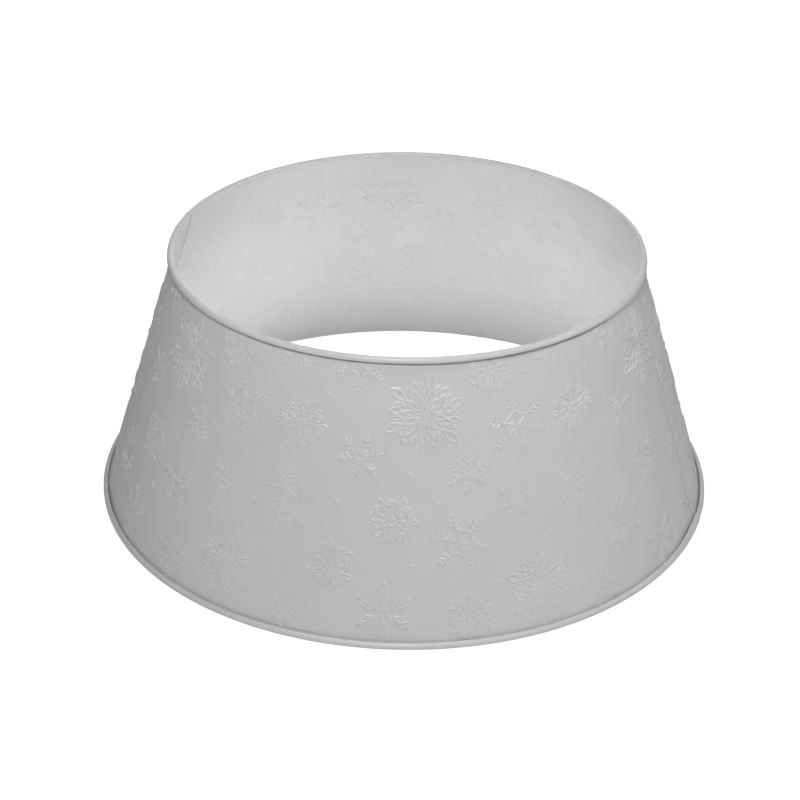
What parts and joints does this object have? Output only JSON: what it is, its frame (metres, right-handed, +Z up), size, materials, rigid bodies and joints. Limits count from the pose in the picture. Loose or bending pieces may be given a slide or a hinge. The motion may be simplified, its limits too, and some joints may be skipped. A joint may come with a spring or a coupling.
{
  "type": "christmas tree collar",
  "caption": "Conical tree collar of white painted, snowflake embossed sheet metal: half panels with rolled rims that push into each other to hide a tree stand.",
  "frame": {"origin": "centre of the ring that stands on the floor, on the floor", "axes": "+Z up along the collar's axis, +X to a seam, -Y to the front panel"},
  "size_m": [0.6596, 0.6594, 0.274],
  "materials": {
    "front_panel": "satin white paint",
    "back_panel": "satin white paint"
  },
  "bodies": {
    "back_half": {"back_panel": "back_panel"},
    "front_half": {"front_panel": "front_panel"}
  },
  "joints": [
    {"name": "front_panel_slide", "type": "slide", "parent": "back_half", "child": "front_half", "axis": [0, -1, 0], "range_m": [0, 0.06]}
  ]
}
